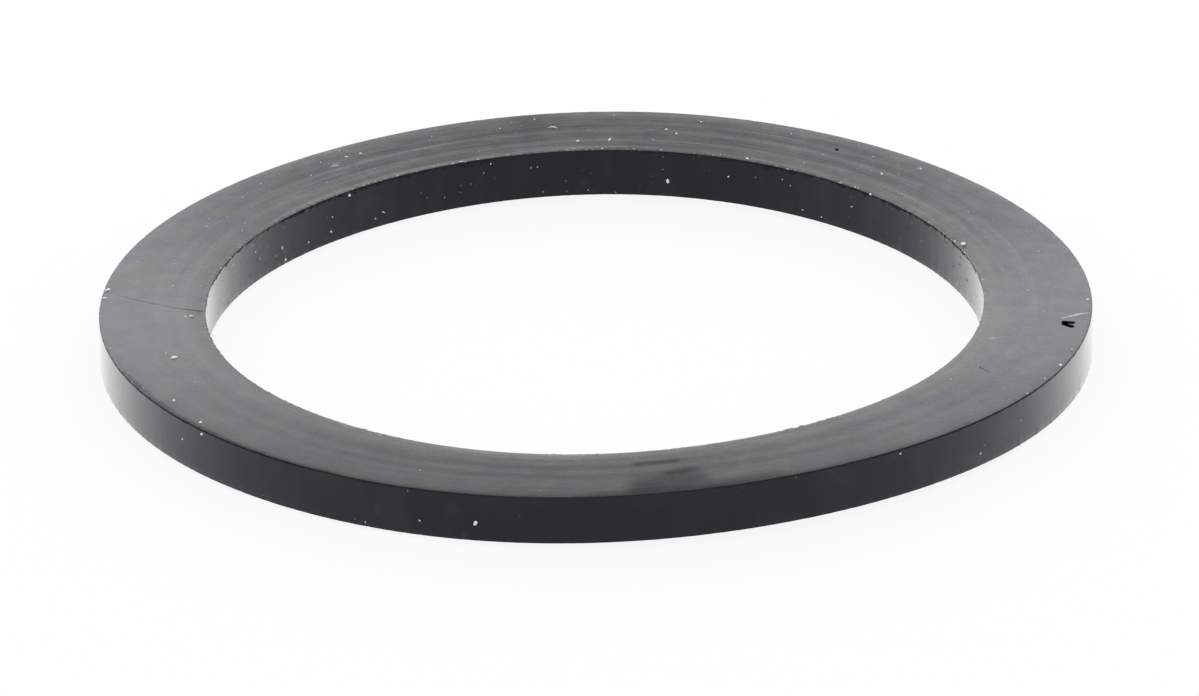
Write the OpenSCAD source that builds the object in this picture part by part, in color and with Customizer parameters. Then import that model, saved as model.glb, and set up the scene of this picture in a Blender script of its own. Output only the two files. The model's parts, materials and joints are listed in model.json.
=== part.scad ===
// Flat ring gasket: one slice of a black rubber tube, parted off on a lathe.
// It lies flat. The lower face is on Z = 0, the origin is at its centre and Z is the axis of the hole.

/* [Tube] */
// Diameter across the outer rim
rim_d = 63.5; // [58:0.5:120]
// Diameter of the hole
hole_d = 50; // [20:0.5:56]

/* [Slice] */
// Thickness of the slice
slice_t = 3.2; // [1:0.1:6]
// Radius to which the four cut corners have eased
corner_r = 0.12; // [0.05:0.01:0.3]

/* [Hidden] */

// Sides given to the round shapes, enough for each to read as a true circle
ring_fn = 180;
corner_fn = 24;

hole_r = hole_d / 2;
wall_w = (rim_d - hole_d) / 2;

// Section of the ring, from the hole's wall outwards: a rectangle with four eased corners
module section() {
    translate([corner_r, 0]) square([wall_w - 2 * corner_r, slice_t]);
    translate([0, corner_r]) square([wall_w, slice_t - 2 * corner_r]);
    for (x = [corner_r, wall_w - corner_r])
        for (y = [corner_r, slice_t - corner_r])
            translate([x, y]) circle(r = corner_r, $fn = corner_fn);
}

// The ring: the section carried once round the axis of the hole
module gasket() {
    color([0.15, 0.15, 0.16])
        rotate_extrude($fn = ring_fn)
            translate([hole_r, 0]) section();
}

gasket();
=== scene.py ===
import json
import math

import bpy
import numpy as np
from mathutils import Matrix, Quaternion, Vector


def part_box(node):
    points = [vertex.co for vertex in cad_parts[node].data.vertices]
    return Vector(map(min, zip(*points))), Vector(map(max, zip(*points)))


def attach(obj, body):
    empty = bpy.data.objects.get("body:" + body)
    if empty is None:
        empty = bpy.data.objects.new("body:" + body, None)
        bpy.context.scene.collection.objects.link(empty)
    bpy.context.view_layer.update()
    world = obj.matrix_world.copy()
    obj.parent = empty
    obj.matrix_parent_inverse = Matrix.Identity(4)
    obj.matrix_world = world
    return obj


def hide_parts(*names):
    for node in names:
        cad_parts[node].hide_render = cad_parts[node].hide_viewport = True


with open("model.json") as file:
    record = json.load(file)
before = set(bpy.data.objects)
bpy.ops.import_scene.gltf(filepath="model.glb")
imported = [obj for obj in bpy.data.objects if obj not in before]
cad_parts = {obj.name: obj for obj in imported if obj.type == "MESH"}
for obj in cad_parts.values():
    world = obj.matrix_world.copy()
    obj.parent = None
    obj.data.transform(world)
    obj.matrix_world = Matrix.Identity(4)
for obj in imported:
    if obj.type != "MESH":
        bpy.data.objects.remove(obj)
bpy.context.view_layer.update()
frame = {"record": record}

MM = 0.001
scene = bpy.context.scene
scene.view_settings.view_transform = "Standard"

# ---- Camera --------------------------------------------------------------------------------
# A long lens, a little under a metre away, looks down on the ring from the front. It is rolled
# by a little under a degree, so the right end of the ring stands slightly higher than the left.

ring_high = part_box("gasket")[1]
view_distance = 27 * ring_high.x
view_height = math.radians(23.12)
view_roll = math.radians(-0.85)
view_aim = Vector((0.24, 0, 0.15)) * MM

camera = bpy.data.objects.new("camera", bpy.data.cameras.new("camera"))
scene.collection.objects.link(camera)
scene.camera = camera
camera.data.sensor_width = 36
camera.data.lens = 398.8
camera.data.clip_start = 0.05
camera.data.clip_end = 20
camera.location = view_distance * Vector((0, -math.cos(view_height), math.sin(view_height)))
level = (view_aim - camera.location).to_track_quat("-Z", "Y")
camera.rotation_mode = "QUATERNION"
camera.rotation_quaternion = level @ Quaternion((0, 0, 1), view_roll)


# ---- Studio --------------------------------------------------------------------------------
# A white table under an even white sky, with a wide softbox low behind the ring and a weak one
# above. The table and the sky read as white, in the ring's reflections too, and the table still
# takes the ring's shadow.


class Wire:
    """A socket in a node tree. Arithmetic on it adds the Math nodes that work the sum out."""

    def __init__(self, tree, socket):
        self.tree = tree
        self.socket = socket

    def __add__(self, other):
        return self.tree.math("ADD", self, other)

    def __sub__(self, other):
        return self.tree.math("SUBTRACT", self, other)

    def __rsub__(self, other):
        return self.tree.math("SUBTRACT", other, self)

    def __mul__(self, other):
        return self.tree.math("MULTIPLY", self, other)

    def __truediv__(self, other):
        return self.tree.math("DIVIDE", self, other)

    __radd__ = __add__
    __rmul__ = __mul__

    def held(self):
        """The value held between 0 and 1."""
        return self.tree.node("Clamp", {}, {"Value": self})

    def above(self, edge):
        """1 where the value is above the edge, else 0."""
        return self.tree.math("GREATER_THAN", self, edge)

    def root(self):
        """The square root of the value."""
        return self.tree.math("SQRT", self)

    def rising(self, start, end):
        """0 up to the start value and 1 past the end value, with an eased slope between them."""
        sockets = {"Value": self, "From Min": start, "From Max": end}
        return self.tree.node("MapRange", {"interpolation_type": "SMOOTHSTEP"}, sockets)


class Tree:
    """The nodes of one material or world, emptied first."""

    def __init__(self, owner):
        owner.use_nodes = True
        self.nodes = owner.node_tree.nodes
        self.links = owner.node_tree.links
        self.nodes.clear()

    def node(self, kind, settings=None, sockets=None, out=0):
        """Adds a node, makes its settings, fills or links its sockets and returns the output asked for."""
        node = self.nodes.new("ShaderNode" + kind)
        for name, value in (settings or {}).items():
            setattr(node, name, value)
        for name, value in (sockets or {}).items():
            socket = self.pick(node.inputs, name)
            if isinstance(value, Wire):
                self.links.new(value.socket, socket)
            else:
                socket.default_value = value
        if not node.outputs:
            return None
        if isinstance(out, tuple):
            return [Wire(self, self.pick(node.outputs, name)) for name in out]
        return Wire(self, self.pick(node.outputs, out))

    def math(self, operation, *values):
        """The result of one Math node on the values."""
        return self.node("Math", {"operation": operation}, dict(enumerate(values)))

    def mix(self, share, first, second):
        """The first colour where share is 0, the second where it is 1."""
        first, second = [(*color, 1) if isinstance(color, tuple) else color for color in (first, second)]
        sockets = {"Factor_Float": share, "A_Color": first, "B_Color": second}
        return self.node("Mix", {"data_type": "RGBA"}, sockets, "Result_Color")

    def pick(self, sockets, name):
        """A socket by its number, its identifier or its name."""
        by_identifier = {socket.identifier: socket for socket in sockets}
        return by_identifier[name] if name in by_identifier else sockets[name]


sky_strength = 0.62
sky_white, mirrored_white = (1, 1, 1), (0.94, 0.97, 1)
white_rays = ("Is Camera Ray", "Is Glossy Ray", "Is Transmission Ray")

sky = Tree(bpy.data.worlds.new("sky"))
scene.world = bpy.data.worlds["sky"]
direct, mirrored, through = sky.node("LightPath", out=white_rays)
sky_level = sky_strength + (1 - sky_strength) * (direct + mirrored + through).held()
sky_color = sky.mix(mirrored, sky_white, mirrored_white)
background = sky.node("Background", {}, {"Color": sky_color, "Strength": sky_level})
sky.node("OutputWorld", {}, {"Surface": background})


def softbox(name, place, size, power):
    """A flat rectangular lamp at a place, in metres, facing the ring."""
    lamp = bpy.data.lights.new(name, "AREA")
    lamp.shape = "RECTANGLE"
    lamp.size, lamp.size_y = size
    lamp.energy = power
    holder = bpy.data.objects.new(name, lamp)
    holder.location = place
    holder.rotation_euler = (-Vector(place)).to_track_quat("-Z", "Y").to_euler()
    scene.collection.objects.link(holder)


softbox("softbox_behind", place=(0, 1.1, 0.47), size=(2.4, 0.7), power=12)
softbox("softbox_above", place=(0, -0.2, 1.2), size=(1.0, 1.0), power=4)


def table_paint():
    """
    Finely grained white paint. Seen directly it glows white, and a tenth of its own shading is left
    for the ring's shadow. In the ring's reflections it only glows.
    """
    material = bpy.data.materials.new("table_white")
    tree = Tree(material)
    grain = tree.node("TexNoise", {}, {"Vector": tree.node("TexCoord", out="Object"), "Scale": 900.0})
    tone = tree.mix(grain, (0.86, 0.86, 0.86), (0.9, 0.9, 0.9))
    lit = tree.node("BsdfDiffuse", {}, {"Color": tone})
    glow = tree.node("Emission", {}, {"Color": (1, 1, 1, 1), "Strength": 1.0})
    direct, mirrored, through = tree.node("LightPath", out=white_rays)
    glow_share = 0.9 * (direct + through) + mirrored
    shown = tree.node("MixShader", {}, {0: glow_share, 1: lit, 2: glow})
    tree.node("OutputMaterial", {}, {"Surface": shown})
    return material


table_side = 6.0
table = bpy.data.objects.new("table", bpy.data.meshes.new("table"))
corners = [(-1, -1, 0), (1, -1, 0), (1, 1, 0), (-1, 1, 0)]
table.data.from_pydata([table_side / 2 * Vector(corner) for corner in corners], [], [(0, 1, 2, 3)])
scene.collection.objects.link(table)
table.data.materials.append(table_paint())


# ---- The ring ------------------------------------------------------------------------------
# One slice of a black rubber tube, parted off on a lathe, so its two faces are knife-cut and its
# walls are the tube's own smooth skin. It lies slightly out of flat, like any thin rubber ring.
# The tube was rolled up from sheet, and the lap shows on the cut face as a fine slanting line.

mounts = {mount["name"]: mount for mount in frame["record"]["mounts"]}
hole_r = mounts["hole"]["dims"]["r_mm"]
rim_r = mounts["rim"]["dims"]["r_mm"]
slice_t = ring_high.z / MM
edge_r = 0.06

# Waves round the ring: how many, how high in mm, and the degree of a crest
bends = [(2, 0.207, 97.5), (3, 0.114, 64.5), (4, 0.016, 26), (5, 0.027, 11)]
rim_waves = [(2, 0.131, 9.5), (3, 0.065, 101), (4, 0.115, 1)]
hole_waves = [(2, 0.042, 14), (3, 0.06, 37), (4, 0.082, 16)]

# How much the upper face falls away to its edges, and a little more to the rim's, and over how far
crown_h, crown_run = 0.1, 1.1
rim_fall, rim_fall_run = 0.03, 0.35

# How far wear cuts into the edges: teeth in the hole's upper edge, inwards and upwards, and nibbles
tooth_in, tooth_up, nibble = 0.014, 0.006, 0.006


def at(turn, out):
    """The point x, y in mm that lies out millimetres from the axis, turned so many degrees from +X."""
    angle = math.radians(turn)
    return np.array([out * math.cos(angle), out * math.sin(angle)])


# The nick is three cuts: a short one across, and one outwards from each of its ends
nick_turn, nick_out = 351.6, 30.75
nick_cuts = [
    (at(351.95, 30.42), at(351.92, 30.86)),
    (at(351.25, 30.46), at(350.78, 30.88)),
    (at(351.95, 30.42), at(351.25, 30.44)),
]
nick_half_width, nick_side, nick_depth = 0.2, 0.04, 0.4


def quarter(out, up, start):
    """A quarter circle of the corner radius about (out, up), anticlockwise from the angle start."""
    angle = start + np.linspace(0, math.pi / 2, 5)
    return np.stack([out + edge_r * np.cos(angle), up + edge_r * np.sin(angle)])


def straight(start, end, steps, crowding=1.0):
    """The points strictly between two points, evenly spaced, or crowded towards the start."""
    share = np.linspace(0, 1, steps + 1)[1:-1] ** crowding
    return np.outer(start, 1 - share) + np.outer(end, share)


def section():
    """
    Out and up, in millimetres, of the ring's section: four straight sides and four quarter-circle
    corners, anticlockwise from the outer wall's foot, with closer points across the nick.
    """
    inner, outer = hole_r + edge_r, rim_r - edge_r
    foot, brow = edge_r, slice_t - edge_r
    nick_start, nick_end = nick_out - 0.85, nick_out + 0.25
    return np.concatenate(
        [
            quarter(outer, foot, -math.pi / 2),
            straight((rim_r, brow), (rim_r, foot), 9, 1.5)[:, ::-1],
            quarter(outer, brow, 0),
            straight((outer, slice_t), (nick_end, slice_t), 2),
            straight((nick_end, slice_t), (nick_start, slice_t), 24),
            straight((nick_start, slice_t), (inner, slice_t), 16),
            quarter(inner, brow, math.pi / 2),
            straight((hole_r, brow), (hole_r, foot), 9, 1.5),
            quarter(inner, foot, math.pi),
            straight((inner, 0), (outer, 0), 12),
        ],
        axis=1,
    )


def ripple(turn, counts, seed):
    """Cosines of these numbers of waves round the ring, at seeded phases, added to a spread of about 1."""
    phase = np.random.default_rng(seed).uniform(0, 2 * math.pi, len(counts))
    return np.cos(np.outer(turn, counts) + phase).sum(axis=1)[:, None] * math.sqrt(2 / len(counts))


def waves(turn, parts):
    """The sum of cosines round the ring, each with its own count, height and crest."""
    return sum(height * np.cos(count * (turn - math.radians(crest))) for count, height, crest in parts)


def lift(turn):
    """How far the bend lifts the ring off the table: its waves, measured from their own lowest point."""
    round_all = np.linspace(0, 2 * math.pi, 720)
    return waves(turn, bends) - waves(round_all, bends).min()


def oval(turn, out):
    """How far out of round the ring is: the rim's waves and the hole's, blended by how far out it is."""
    across = (out - hole_r) / (rim_r - hole_r)
    return waves(turn, rim_waves) * across + waves(turn, hole_waves) * (1 - across)


def crown(out):
    """The height of the crown, less an exponential at each edge and a shorter one at the rim."""
    edges = np.exp((hole_r - out) / crown_run) + np.exp((out - rim_r) / crown_run)
    return crown_h * (1 - edges) - rim_fall * np.exp((out - rim_r) / rim_fall_run)


def near_corner(out, up, corner, reach):
    """1 at a corner of the section, dying away as a bell curve of that reach."""
    return np.exp(-((out - corner[0]) ** 2 + (up - corner[1]) ** 2) / reach**2)


def near_stroke(x, y, start, end):
    """How far each point x, y lies from the straight stroke between two points."""
    along = end - start
    share = np.clip(((x - start[0]) * along[0] + (y - start[1]) * along[1]) / (along @ along), 0, 1)
    return np.hypot(x - start[0] - share * along[0], y - start[1] - share * along[1])


def ring_points():
    """
    The section carried round the axis. The whole ring rises and falls and goes out of round in a
    few long waves, its cut edges wander by a few hundredths of a millimetre, its upper face falls
    away slightly at both edges, and the nick is a slot with steep sides.
    """
    even = np.linspace(0, 2 * math.pi, 1080, endpoint=False)
    across_nick = np.radians(nick_turn + np.linspace(-1.3, 1.3, 57))
    turn = np.unique(np.concatenate([even, across_nick]))[:, None]
    out, up = section()
    brow_in = near_corner(out, up, (hole_r, slice_t), 0.16)
    brow_out = near_corner(out, up, (rim_r, slice_t), 0.16)
    foot_out = near_corner(out, up, (rim_r, 0), 0.2)
    foot_in = near_corner(out, up, (hole_r, 0), 0.2)

    # The hole's upper edge is torn into teeth, more in some stretches, and the others are only nibbled
    torn = np.clip(0.6 + 0.5 * ripple(turn, np.arange(4, 23), 5), 0.1, 2)
    teeth = torn * ripple(turn, np.arange(60, 400, 7), 3)
    teeth = np.where(teeth > 0, 1.5 * teeth, 0.5 * teeth)
    nibbles = ripple(turn, np.arange(30, 300, 7), 4)
    radius = out + oval(turn, out) - tooth_in * teeth * brow_in
    radius = radius + nibble * nibbles * (brow_out + foot_out - foot_in)
    x, y = radius * np.cos(turn), radius * np.sin(turn)

    from_cuts = np.min([near_stroke(x, y, start, end) for start, end in nick_cuts], axis=0)
    slot = np.clip((nick_half_width - from_cuts) / nick_side, 0, 1) * (up > slice_t - 1e-6)
    z = up + lift(turn) + crown(out) * (up > slice_t / 2) + tooth_up * teeth * brow_in - nick_depth * slot
    return np.stack([x, y, z], axis=2) * MM


def new_piece(name, points, faces):
    """A smooth-shaded piece from its points, in metres, and its faces."""
    piece = bpy.data.objects.new(name, bpy.data.meshes.new(name))
    scene.collection.objects.link(piece)
    piece.data.from_pydata(points.reshape(-1, 3), [], faces)
    piece.data.shade_smooth()
    return piece


grid = ring_points()
turns, rows = grid.shape[:2]
here = np.arange(turns * rows).reshape(turns, rows)
after = np.roll(here, -1, axis=0)
quads = np.stack([here, after, np.roll(after, -1, axis=1), np.roll(here, -1, axis=1)], axis=2)
ring = new_piece("rubber_ring", grid, quads.reshape(-1, 4))

# The height in the flat section, before the bend and the crown, for the materials to read
section_out, section_up = section()
flat_height = ring.data.attributes.new("height", "FLOAT", "POINT")
flat_height.data.foreach_set("value", np.tile(section_up, turns))


class Place:
    """
    Where a point of the ring's surface is, in millimetres and degrees about the axis of the hole.
    Patterns drawn round the ring have their stated size at middle_r.
    """

    middle_r = 28

    def __init__(self, tree):
        self.tree = tree
        metres = tree.node("TexCoord", out="Object")
        self.point = tree.node("VectorMath", {"operation": "SCALE"}, {"Vector": metres, "Scale": 1 / MM})
        self.x, self.y, self.z = tree.node("SeparateXYZ", {}, {0: self.point}, out=(0, 1, 2))
        self.out = (self.x * self.x + self.y * self.y).root()
        self.turn = tree.math("ARCTAN2", self.y, self.x) * (180 / math.pi)
        self.turn = self.turn + (0 - self.turn).above(0) * 360
        self.up = tree.node("Attribute", {"attribute_name": "height"}, out="Fac")

        # 1 at the left and right ends, 0 in front and behind
        self.sideways = self.x * self.x / (self.out * self.out)

    def cloud(self, point, detail=2.0, roughness=0.5):
        """Soft random shading about 0, within half a unit each way."""
        noise = {"Vector": point, "Scale": 1.0, "Detail": detail, "Roughness": roughness}
        return self.tree.node("TexNoise", {}, noise) - 0.5

    def sized(self, step):
        """The point in steps of so many millimetres."""
        sockets = {"Vector": self.point, "Scale": 1 / step}
        return self.tree.node("VectorMath", {"operation": "SCALE"}, sockets)

    def drawn_round(self, round_step, out_step, up_step=1.0):
        """A point for a pattern drawn out round the ring. The steps are its size in mm each way."""
        scale = self.middle_r / round_step
        layer = self.out / out_step + self.z / up_step
        sockets = {0: self.x / self.out * scale, 1: self.y / self.out * scale, 2: layer}
        return self.tree.node("CombineXYZ", {}, sockets)

    def specks(self, first, second, radius, share):
        """Round specks of up to the radius, in a share of the unit cells that two coordinates make."""
        cell = self.tree.node("CombineXYZ", {}, {0: first, 1: second})
        settings, sockets = {"voronoi_dimensions": "2D"}, {"Vector": cell, "Scale": 1.0}
        distance, tint = self.tree.node("TexVoronoi", settings, sockets, out=("Distance", "Color"))
        chance, size, bright = self.tree.node("SeparateColor", {}, {0: tint}, out=(0, 1, 2))
        reach = radius * (0.4 + 0.6 * size * size)
        shape = ((reach - distance) / (radius * 0.35)).held()
        return shape * (share - chance).above(0) * (0.4 + 0.6 * bright)

    def stroke(self, start, end, half_width, soft):
        """1 within half_width mm of the straight stroke between two points, fading out over soft mm."""
        along = end - start
        x, y = self.x - start[0], self.y - start[1]
        share = ((x * along[0] + y * along[1]) / float(along @ along)).held()
        x, y = x - share * along[0], y - share * along[1]
        return 1 - (x * x + y * y).root().rising(half_width, half_width + soft)

    def strokes(self, path, half_width, soft):
        """Strokes from each point of a path to the next, the points given as turn and out."""
        ends = [at(*point) for point in path]
        return sum(self.stroke(a, b, half_width, soft) for a, b in zip(ends, ends[1:])).held()

    def blot(self, turn, up, half_width, half_height, lean=0.0):
        """1 in the middle of a soft oval spot on a wall, at a turn and a height, fading to 0 at its rim."""
        tall = (self.z - up) / half_height
        wide = (self.turn - turn) * (math.radians(self.middle_r) / half_width) - tall * lean
        return 1 - (tall * tall + wide * wide).root().rising(0.2, 1)

    def circle(self, out, half_width):
        """1 along a soft-edged circle at a distance out."""
        aside = self.tree.math("ABSOLUTE", self.out - out)
        return 1 - aside.rising(half_width * 0.2, half_width)


def rubber(tree, tone, rough, relief, black, **more):
    """A shiny rubber with the colour, roughness and relief given, and dead black where black is 1: painted
    shade in the nick, pits and along edges, and the dark colour of hairs and the lap elsewhere.
    """
    bump = tree.node("Bump", {}, {"Strength": 1.0, "Distance": MM, "Height": relief})
    sockets = {"Base Color": tone, "Roughness": rough, "Normal": bump}
    sockets |= {name.replace("_", " "): value for name, value in more.items()}
    sound = tree.node("BsdfPrincipled", {}, sockets)
    crevice = tree.node("BsdfDiffuse", {}, {"Color": (0.002, 0.002, 0.002, 1)})
    shown = tree.node("MixShader", {}, {0: black, 1: sound, 2: crevice})
    tree.node("OutputMaterial", {}, {"Surface": shown})


class CutPlace(Place):
    """A place on a cut face, with the broad shading that several of the marks there share."""

    def __init__(self, tree):
        super().__init__(tree)
        self.upper = (self.up - slice_t / 2).above(0)
        self.behind = (self.y / rim_r).rising(-0.5, 0.9)
        self.leftward = (self.x / rim_r).rising(1, -1)

        # Broad and fine marks of the knife, then mottling, grain and large patches
        self.bands = self.cloud(self.drawn_round(14, 0.6), 2.0)
        self.streaks = self.cloud(self.drawn_round(5, 0.14), 3.0, 0.6)
        self.mottle = self.cloud(self.sized(1.6), 3.0, 0.6)
        self.grain = self.cloud(self.sized(0.25), 2.0, 0.7)
        self.patches = self.cloud(self.sized(3.1), 1.6, 0.5) * (0.8 + 0.9 * self.leftward)


# Rings left by the knife: how far out each is and half its width, in mm, then how much duller it is
# than the rest of the face, or shinier where below 0, all round and then further at the back
knife_marks = [
    (27.4, 0.7, 1.2, 0),
    (28.85, 0.6, 1.4, 0.6),
    (29.9, 0.7, 0.1, 1.1),
    (27.2, 0.3, 0, 0.3),
    (25.9, 0.55, 0, 0.6),
    (26.55, 0.22, -0.3, -0.9),
    (28.2, 0.35, 0, -1.1),
    (25.25, 0.4, 0, -2.2),
]


def knife_rings(face):
    """The knife's rings, above 0 where duller and below 0 where shinier, with the bands through them."""
    rings = 0
    for out, half_width, duller, duller_behind in knife_marks:
        rings = rings + face.circle(out, half_width) * (duller + duller_behind * face.behind)
    rings = rings - (1 - face.out.rising(24.9, 26.9)) * (3 - 1.5 * face.behind)
    rings = rings - face.out.rising(30.4, 31.2) * 0.5 * face.behind
    rings = rings - 0.9 * face.stroke(at(290, 28), at(312, 28), 0.5, 5)
    return rings * (0.8 + (1.6 + 1.2 * face.behind) * face.bands)


def lap_line(face):
    """The lap: a hairline that slants across the face, patchy, and fainter towards the rim."""
    path = [(175.2, 31.75), (176.1, 31), (177.5, 30), (179, 28.6), (180.7, 27.1), (181.5, 25.5)]
    lap = face.strokes(path, 0.03, 0.13) * face.upper * (0.75 + 3 * face.mottle).held()
    lap = lap * (0.85 - 0.45 * face.out.rising(25.6, 27.4))
    return lap * (1 - 0.6 * face.out.rising(29.5, 31.5))


def dark_marks(face, lap):
    """Where the face is dead black: painted shade in the nick, in a pit and along the rim's edge at the
    front left, and the dark hair lines and the lap.
    """
    # Painted shade: the nick's slot and the pit are dead black
    nick = sum(face.stroke(start, end, nick_half_width - 0.02, 0.05) for start, end in nick_cuts).held()
    pit = face.stroke(at(56.5, 29.3), at(56.8, 29.4), 0.07, 0.07)
    hair = face.strokes([(334.4, 27.1), (334, 27.2), (333.6, 27.6), (333.2, 28)], 0.02, 0.07)
    short_hair = face.strokes([(3.4, 25.2), (1.8, 25.45)], 0.02, 0.07)
    lap_end = face.stroke(at(181.4, 25.3), at(181.5, 25.5), 0.08, 0.2)
    second_lap = face.strokes([(163.4, 28.7), (164.6, 27), (164.9, 25.4)], 0.02, 0.16)
    # Painted shade along the rim's edge at the front left, ragged and patchy
    edge = [(199, 31.85), (208, 31.75), (216, 31.75), (224, 31.75), (232, 31.8), (241, 31.9)]
    rim_edge_shade = face.strokes(edge, 0.05, 0.3) * (0.7 + 2 * face.mottle + 3 * face.grain).held()
    marks = nick + pit + hair * 0.55 + short_hair * 0.275 + lap_end * 0.2 + second_lap * 0.07
    return ((marks + rim_edge_shade * 0.4) * face.upper + lap * 0.23).held()


def scratch_mark(face):
    """The pale scratch by the nick: a strong stretch, a weaker one to the rim and a faint tail inwards."""
    scratch = face.strokes([(353.9, 30.65), (354.5, 31.05), (355, 31.42)], 0.05, 0.13)
    scratch = scratch + 0.75 * face.strokes([(355, 31.42), (355.3, 31.78)], 0.03, 0.1)
    scratch = scratch + 0.4 * face.strokes([(353.2, 30.2), (353.9, 30.65)], 0.02, 0.13)
    return (scratch * (1 + 1.5 * face.grain)).held() * face.upper


def scuff_marks(face):
    """Three small pale scuffs, the third one weaker."""
    scuffs = face.stroke(at(44.6, 30.3), at(44.9, 30.35), 0.05, 0.25)
    scuffs = scuffs + face.stroke(at(125.6, 29.1), at(126, 29.1), 0.05, 0.25)
    scuffs = scuffs + 0.6 * face.stroke(at(345, 26.3), at(345.2, 26.3), 0.05, 0.25)
    return scuffs * face.upper


def greasy_smudge_and_edge_shade(face):
    """The dark greasy smudge at the front, in three strokes, painted shade along the rim's front edge in
    two more, and a faint smudge behind.
    """
    smudge_and_edge_shade = (
        0.85 * face.stroke(at(276.2, 30.7), at(280.3, 30.1), 0.6, 1.6)
        + 0.5 * face.stroke(at(279.2, 28.9), at(282.2, 28.5), 0.0, 0.7)
        + 0.8 * face.stroke(at(275.3, 27.3), at(280.2, 27.2), 0.0, 0.6)
        # Painted shade along the rim's edge at the front
        + 0.4 * face.stroke(at(268, 31.7), at(284, 31.7), 0.1, 0.6)
        + 0.6 * face.stroke(at(283.5, 31.5), at(290.5, 31.5), 0.1, 1.3)
        + 0.3 * face.stroke(at(97.4, 31), at(98.4, 28), 0.0, 2)
    ).held()
    return smudge_and_edge_shade * face.upper * (0.95 + 0.9 * face.bands + 0.4 * face.mottle)


def pale_dust(face):
    """Pale specks of three sizes, thickest behind, and a fringe of pale specks on the hole's edge, mostly
    behind, that paints the highlight along that edge.
    """
    crowd = (0.5 + 3 * face.patches).held() * face.behind
    # Painted highlight: the fringe along the hole's edge, strongest behind
    lip_highlight = (1 - face.out.rising(25.1, 25.4)) * (0.08 + 0.92 * face.behind)
    round_way = face.turn * (math.pi / 180 * hole_r)
    dust = face.specks(face.x / 0.8, face.y / 0.8, 0.12, 0.03 * crowd + 0.002) * 0.7
    dust = dust + face.specks(face.x / 0.3 + 40, face.y / 0.3, 0.22, 0.05 * crowd + 0.003) * 0.6
    dust = dust + face.specks(face.x / 0.7 + 9, face.y / 1.9 + 30, 0.11, 0.08 * crowd) * 0.6
    dust = dust + face.specks(round_way / 0.45, face.out / 0.16, 0.4, 0.35 * lip_highlight) * face.upper
    return dust.held()


def cut_face():
    """Knife-cut rubber: concentric marks, grey rubber dust, the lap line and the handling marks on top,
    with painted shade in the nick, a pit and along the rim's front edges, a painted highlight on the hole's
    edge and a painted bluer tint at the ends.
    """
    material = bpy.data.materials.new("cut_face")
    tree = Tree(material)
    face = CutPlace(tree)
    bands, streaks, mottle, grain, behind = face.bands, face.streaks, face.mottle, face.grain, face.behind
    lap = lap_line(face)
    scratch = scratch_mark(face)
    smudge_and_edge_shade = greasy_smudge_and_edge_shade(face)
    dust = pale_dust(face)

    # Brownish and bluish clouding, made bluer towards the left and right ends as a painted tint of the
    # reflection there, then grey rubber dust in the streaks, then what lies on top
    middle = face.out.rising(25.8, 27.3)
    cool_tint_and_reflection = 0.05 + middle * (0.2 + 0.5 * face.sideways) + face.patches * (1 + 1.6 * face.sideways)
    powder = (grain * 3 - 0.1).held() * (0.3 + 0.7 * behind)
    across = 1 - 0.8 * face.sideways
    greyed = (streaks * (0.2 + 0.9 * behind) * across + powder * 0.5).held()
    tone = tree.mix(cool_tint_and_reflection.held(), (0.0225, 0.0215, 0.0165), (0.013, 0.0205, 0.031))
    tone = tree.mix(greyed, tone, (0.06, 0.062, 0.062))
    # The smudge darkens the tone, and along the rim's front edge this darkening is painted shade
    tone = tree.mix(smudge_and_edge_shade * 0.75, tone, (0.004, 0.005, 0.006))
    # The pale specks include the painted highlight on the hole's edge
    tone = tree.mix((dust * 0.8 + scuff_marks(face) * 0.1).held(), tone, (0.7, 0.7, 0.68))
    tone = tree.mix(scratch * 0.5, tone, (0.6, 0.62, 0.64))

    # The turned marks show less towards the left and right ends, and the mottling less at the left.
    # The face is a little duller straight behind, at the right end, and by the hole at the left
    lines = face.cloud(face.drawn_round(7, 0.28), 2.0, 0.55) * behind * (1 - face.out.rising(28.3, 30.5))
    even = 1 - 0.3 * face.leftward * face.sideways
    dull = 0.03 * (face.y / face.out).rising(0.85, 1)
    dull = dull + 0.02 * (face.x / face.out).rising(0.6, 1) * (1 - behind)
    dull = dull + 0.09 * (1 - face.out.rising(25, 26.8)) * face.leftward * face.sideways
    turned = knife_rings(face) * 0.045 - 0.02 - bands * 0.1 - streaks * (0.07 + 0.1 * behind)
    rough = 0.515 + across * turned + even * (mottle * (0.13 + 0.05 * behind) + grain * 0.16)
    rough = rough + dull + smudge_and_edge_shade * 0.2 - lap * 0.03 - lines * 0.2

    relief = bands * 0.01 + streaks * (0.004 + 0.006 * behind) + mottle * 0.014 + grain * 0.012
    relief = relief + dust * 0.03 - lap * 0.05 - scratch * 0.02
    black = dark_marks(face, lap)
    rubber(tree, tone, rough, relief, black, IOR=1.45, Anisotropic=0.65, Anisotropic_Rotation=0.25)
    return material


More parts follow.
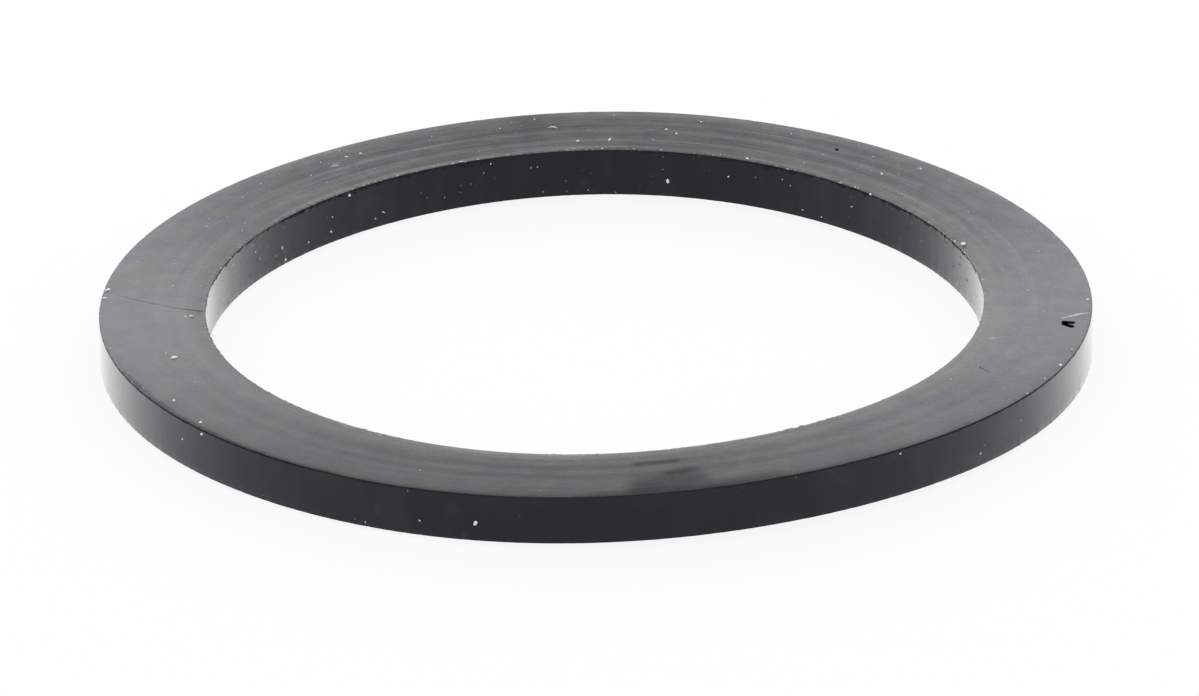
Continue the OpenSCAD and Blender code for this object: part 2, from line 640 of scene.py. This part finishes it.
def skin():
    """The tube's own smooth skin: blue-black, with a faint bloom, small specks and soft smudges, a painted
    shadow line under the knife's edge, painted shade in pits and painted glints at the hole's ends, and a
    painted bluer reflection tint at the left and right ends.
    """
    material = bpy.data.materials.new("skin")
    tree = Tree(material)
    wall = Place(tree)
    inside = 1 - (wall.out - (hole_r + rim_r) / 2).above(0)
    round_way = wall.turn * math.radians(wall.middle_r)
    cloud = wall.cloud(wall.sized(2.6), 3.0, 0.55)
    swell = wall.cloud(wall.drawn_round(2.2, 30, 9), 1.0)
    uprights = wall.cloud(wall.drawn_round(3, 40, 7), 2.0)
    grain = wall.cloud(wall.sized(0.12), 2.0, 0.6)

    # Painted shadow: the dark line under the knife's edge, which is ragged and thick on the inside, and
    # stronger towards the left and right ends
    ragged = wall.cloud(wall.drawn_round(0.8, 30, 30), 4.0, 0.75)
    ragged = ragged + wall.cloud(wall.drawn_round(5, 30, 30), 1.0) * 0.5
    brow = (wall.up - slice_t + 0.12 + 0.03 * inside + ragged * (0.15 + 1.1 * inside)).rising(-0.03, 0.03)
    brow = brow * (0.25 + 1.1 * wall.sideways).held()

    dust = wall.specks(round_way / 0.9, wall.z / 0.9, 0.09, 0.02 + 0.07 * inside)
    dust = (dust + 0.5 * wall.specks(round_way / 0.4 + 9, wall.z / 0.4, 0.15, 0.01 + 0.03 * inside)).held()
    # At the left and right ends of the hole's wall, pits, dented a little, are painted dead black as shade,
    # and pale spots are painted glints
    ends = (2.5 * wall.sideways - 1.5).held() * inside
    pits = wall.specks(round_way / 1.3 + 5, wall.z / 0.6, 0.32, 0.22) * ends
    painted_glints = wall.specks(round_way / 1.1, wall.z / 0.6 + 7, 0.22, 0.14) * ends
    smears = wall.blot(305.7, 0.45, 0.22, 0.7, -0.9) + wall.blot(254.6, 0.35, 0.25, 0.7)
    smears = smears + 0.7 * wall.blot(244.2, 1.6, 0.3, 0.6)
    smears = smears + wall.blot(319, 1.1, 1.6, 0.8, -0.7) + 0.6 * wall.blot(325, 1.9, 1.5, 0.8, -0.5)
    smears = smears * (1 - inside)

    bloom = (cloud * 3 - 0.25).held()
    tone = tree.mix((0.5 + 1.5 * cloud).held(), (0.001, 0.003, 0.01), (0.005, 0.005, 0.008))
    # Painted reflection tint: bluer towards the left and right ends
    tone = tree.mix((1.5 * wall.sideways).held(), tone, (0.003, 0.004, 0.015))
    tone = tree.mix((uprights * 2).held(), tone, (0.02, 0.02, 0.024))
    tone = tree.mix(bloom * 0.03 + smears * (0.03 + 0.05 * grain), tone, (0.5, 0.5, 0.55))
    tone = tree.mix((dust * 0.6 + painted_glints * 0.8).held(), tone, (0.6, 0.6, 0.6))
    rough = 0.27 + cloud * 0.12 + dust * 0.3 + pits * 0.2
    relief = swell * 0.05 + cloud * 0.03 + grain * 0.002 + dust * 0.02 - pits * 0.03
    # Painted shade: the line under the knife's edge and the pits at the ends are dead black
    black = (brow * 0.7 + pits * 0.7).held()
    sheen = {"Sheen_Weight": 1.0, "Sheen_Roughness": 0.35}
    coat = {"Coat_Weight": 1 - 0.2 * inside, "Coat_IOR": 1.23, "Coat_Roughness": 0.12}
    rubber(tree, tone, rough, relief, black, IOR=1.23, **sheen, **coat)
    return material


# A step of the section that goes further out than up lies on a cut face, and any other on a wall
steps_out = np.abs(section_out - np.roll(section_out, -1))
steps_up = np.abs(section_up - np.roll(section_up, -1))
finishes = np.where(np.tile(steps_out > steps_up, turns), 0, 1).astype(np.int32)
ring.data.materials.append(cut_face())
ring.data.materials.append(skin())
ring.data.polygons.foreach_set("material_index", finishes)
ring.data.update()
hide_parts("gasket")
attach(ring, "root")


# ---- Crumbs and lint -----------------------------------------------------------------------
# Off-white crumbs and short fibres, picked up from the bench, that cling to the rubber. Each is a
# small pebble under a millimetre long, sunk by half into the face or wall that it lies on.

# Turn in degrees, then out, height, half length and half width in mm, then the lean in degrees from
# the spoke, or on a wall from the vertical, and the bow
crumbs = [
    (20.3, 25.6, slice_t, 0.18, 0.16, 40, 0),
    (174.3, 31.65, slice_t, 0.23, 0.13, 50, 0),
    (176.7, 31.72, slice_t, 0.17, 0.1, 0, 0),
    (197.2, 28.2, slice_t, 0.24, 0.13, 10, 0),
    (183.4, 26.05, slice_t, 0.12, 0.1, 30, 0),
    (183.5, 26.4, slice_t, 0.09, 0.05, 0, 0),
    (209.6, 30.8, slice_t, 0.12, 0.09, 50, 0),
    (216.8, 31.25, slice_t, 0.14, 0.08, 20, 0),
    (339.1, 31.65, slice_t, 0.13, 0.09, 70, 0),
    (359.3, 31.7, slice_t, 0.12, 0.09, 0, 0),
    (87.6, 26.55, slice_t, 0.28, 0.05, -15, 0),
    (92.1, 26.4, slice_t, 0.1, 0.1, 0, 0),
    (80.1, 28.5, slice_t, 0.1, 0.08, 0, 0),
    (78.5, 27.9, slice_t, 0.09, 0.08, 0, 0),
    (66.2, 25.25, slice_t, 0.1, 0.08, 80, 0),
    (95.2, 29.1, slice_t, 0.36, 0.04, 78, 2),
    (47.1, 27.9, slice_t, 0.15, 0.06, 60, 0),
    (43.5, 25.05, slice_t, 0.1, 0.07, 60, 0),
    (121.3, 29.6, slice_t, 0.1, 0.08, 30, 0),
    (123.3, 29.7, slice_t, 0.14, 0.05, 35, 0),
    (126.2, 28.85, slice_t, 0.32, 0.035, 80, 0),
    (110.2, 25.15, slice_t, 0.12, 0.04, 85, 0),
    (44.7, 30.35, slice_t, 0.13, 0.05, 60, 0),
    (78.6, hole_r, 1.1, 0.16, 0.1, 0, 0),
    (130, hole_r, 2.9, 0.1, 0.09, 0, 0),
    (144.9, hole_r, 1.26, 0.15, 0.05, 10, 0),
    (144.2, hole_r, 0.3, 0.1, 0.08, 0, 0),
    (133.8, hole_r, 0.8, 0.11, 0.05, 50, 0),
    (123.7, hole_r, 0.95, 0.12, 0.04, 60, 0),
    (256, rim_r, 1.2, 0.18, 0.11, 30, 0),
    (218.3, rim_r, 2.85, 0.15, 0.07, 60, 0),
]

# Turn and out of the grains on the face
face_grains = [(151.3, 26.2), (136.9, 30), (127, 29.9), (87.3, 30.9), (97.2, 30.7), (40.2, 26.5)]
face_grains += [(76.2, 30.3), (51.5, 29.75), (21.9, 25.3), (88.6, 25.15), (47, 25.2), (199.3, 31.6)]
face_grains += [(110.9, 29.9), (130.6, 28.6), (152.3, 28.6), (64.2, 30.3), (122.9, 30.9), (355.2, 28.9)]
face_grains += [(2.2, 27.95), (102, 29.6), (70.5, 25.2), (58, 26.3), (191.6, 31.7), (195.4, 28.5)]
face_grains += [(344, 31.6), (334.5, 31.55), (349.6, 31.7), (329.5, 31.65), (14.5, 29.8)]

# Turn and height of the grains on the hole's wall and on the outer wall
hole_grains = [(90.8, 0.36), (152.3, 2.15), (58.6, 2.07), (133.5, 1.8), (105.7, 2.8), (17.1, 2.16)]
hole_grains += [(125.2, 0.66), (113.2, 0.94), (56.5, 0.55), (69, 1.88), (60, 2.37), (47.3, 1.83)]
hole_grains += [(138.7, 0.73), (53.1, 0.4), (157.6, 2.9), (98.5, 2.2)]
rim_grains = [(249.4, 1), (307, 2.86), (214.5, 1.8), (319.8, 0.85), (327.7, 1.7), (242.6, 0.3)]

grain_places = [(turn, out, slice_t) for turn, out in face_grains]
grain_places += [(turn, hole_r, up) for turn, up in hole_grains]
grain_places += [(turn, rim_r, up) for turn, up in rim_grains]
grain_sizes = np.random.default_rng(11).uniform(0.03, 0.07, (len(grain_places), 2))
grain_lean = 45
crumbs += [(*where, *size, grain_lean, 0) for where, size in zip(grain_places, grain_sizes)]


def crumb_points():
    """
    Each crumb is a ball by two angles, drawn out along its length and flattened, with cosine
    dimples, bowed sideways by the square of the length, and laid on the face or against the wall.
    """
    turn, out, up, half_length, half_width, lean, bow = np.array(crumbs).T[:, :, None, None]
    on_wall = up < slice_t
    hand = np.where(on_wall, -1, 1)
    turn, lean = np.radians(turn), np.radians(lean) * hand
    round_it = np.linspace(0, 2 * math.pi, 12, endpoint=False)[:, None]
    along_it = np.linspace(0.01, math.pi - 0.01, 10)
    phase = np.random.default_rng(8).uniform(0, 2 * math.pi, (2, len(crumbs), 1, 1))
    dimples = 1 + 0.15 * np.cos(2 * round_it + 3 * along_it + phase[0])
    dimples = dimples + 0.1 * np.cos(3 * round_it - 2 * along_it + phase[1])
    girth = half_width * np.sin(along_it) * dimples
    length = half_length * np.cos(along_it) + 0 * round_it
    side = girth * np.cos(round_it) + bow * length**2
    high = 0.8 * girth * np.sin(round_it)

    # On the face a crumb's length is turned from the spoke, and it stands up. On a wall its length is
    # turned from the vertical, and it stands out, with its sideways direction reversed, so that its
    # faces still point outwards
    spoke = np.stack([np.cos(turn), np.sin(turn), 0 * turn], axis=-1)
    tangent = np.stack([-hand * np.sin(turn), hand * np.cos(turn), 0 * turn], axis=-1)
    upward = np.array([0, 0, 1])
    lengthways = np.where(on_wall[..., None], upward, spoke)
    outwards = np.where(on_wall[..., None], spoke, upward)
    ahead = (length * np.cos(lean) - side * np.sin(lean))[..., None] * lengthways
    aside = (length * np.sin(lean) + side * np.cos(lean))[..., None] * tangent
    radius = out + np.where(on_wall, oval(turn, out), 0)
    height = up + lift(turn) + np.where(on_wall, 0, crown(out))
    centre = radius[..., None] * spoke + height[..., None] * upward
    return (centre + ahead + aside + high[..., None] * outwards) * MM


def lint_white():
    """Matt off-white fluff, from cream to bluish, with a fine relief."""
    material = bpy.data.materials.new("lint_white")
    tree = Tree(material)
    place = Place(tree)
    fluff = place.cloud(place.sized(0.08), 3.0, 0.7)
    bluish = (0.5 + place.cloud(place.sized(1.1)) * 2).held()
    tone = tree.mix(bluish, (0.95, 0.94, 0.9), (0.9, 0.92, 0.94))
    bump = tree.node("Bump", {}, {"Strength": 1.0, "Distance": MM, "Height": fluff * 0.03})
    sockets = {"Base Color": tone, "Roughness": 0.75 + fluff * 0.3, "Normal": bump}
    fuzz = tree.node("BsdfPrincipled", {}, sockets)
    tree.node("OutputMaterial", {}, {"Surface": fuzz})
    return material


pebbles = crumb_points()
count, around, loops = pebbles.shape[:3]
vertex = np.arange(count * around * loops).reshape(count, around, loops)
beside = np.roll(vertex, -1, axis=1)
sides = np.stack([vertex[..., :-1], vertex[..., 1:], beside[..., 1:], beside[..., :-1]], axis=-1)
caps = vertex[:, ::-1, -1].tolist() + vertex[:, :, 0].tolist()
lint = new_piece("crumbs_and_lint", pebbles, sides.reshape(-1, 4).tolist() + caps)
lint.data.materials.append(lint_white())
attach(lint, "root")
